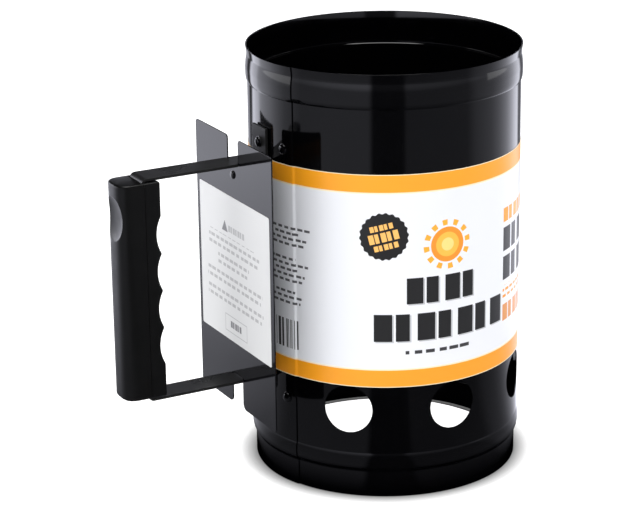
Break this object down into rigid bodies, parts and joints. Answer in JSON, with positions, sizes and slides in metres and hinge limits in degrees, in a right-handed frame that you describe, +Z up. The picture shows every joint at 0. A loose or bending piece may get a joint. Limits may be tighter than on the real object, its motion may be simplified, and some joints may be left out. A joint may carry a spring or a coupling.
{
  "type": "chimney charcoal starter",
  "caption": "Sheet-steel chimney for lighting charcoal, with air holes, a lift-out wire grate, a strap handle with a finger grip, and a flat heat shield.",
  "frame": {"origin": "centre of the bounding box's bottom face, in the plane that the drum's bottom edge stands on", "axes": "+Z up along the drum's axis, -X towards the handle, Y across the handle"},
  "size_m": [0.3036, 0.1924, 0.301],
  "materials": {
    "drum_enamel": "gloss black enamel on rolled sheet steel",
    "shield_enamel": "smooth semi-gloss black enamel on flat sheet steel",
    "strap_enamel": "gloss black paint on bent flat bar",
    "rivet_enamel": "black enamelled rivet head",
    "grip_plastic": "satin black moulded phenolic",
    "wrap_paper": null,
    "sticker_paper": "white sticker with a light satin film and grey rules in place of text",
    "grate_wire": "dull plated steel wire",
    "zinc_steel": "zinc-plated fastener"
  },
  "bodies": {
    "starter": {"drum": "drum_enamel", "wrap_label": "wrap_paper", "heat_shield": "shield_enamel", "shield_label": "sticker_paper", "handle_strap": "strap_enamel", "shield_bracket": "strap_enamel", "shield_rivet": "rivet_enamel", "grip_outer": "grip_plastic", "grip_inner": "grip_plastic", "grip_screw_bottom": "zinc_steel", "grip_screw_top": "zinc_steel", "strap_rivet_bottom": "rivet_enamel", "strap_rivet_top": "rivet_enamel", "strap_washer_bottom": "zinc_steel", "strap_washer_top": "zinc_steel", "seam_rivet_bottom": "rivet_enamel", "seam_rivet_top": "rivet_enamel", "grate_lug_1": "grate_wire", "grate_lug_2": "grate_wire", "grate_lug_3": "grate_wire", "grate_lug_4": "grate_wire"},
    "grate": {"grate_ring": "grate_wire", "grate_bar_1": "grate_wire", "grate_bar_2": "grate_wire", "grate_wire_1": "grate_wire", "grate_wire_2": "grate_wire", "grate_wire_3": "grate_wire", "grate_wire_4": "grate_wire", "grate_wire_5": "grate_wire", "grate_wire_6": "grate_wire", "grate_wire_7": "grate_wire", "grate_wire_8": "grate_wire", "grate_wire_9": "grate_wire"}
  },
  "joints": [
    {"name": "grate_lift", "type": "slide", "parent": "starter", "child": "grate", "axis": [0, 0, 1], "range_m": [0, 0.22]}
  ]
}
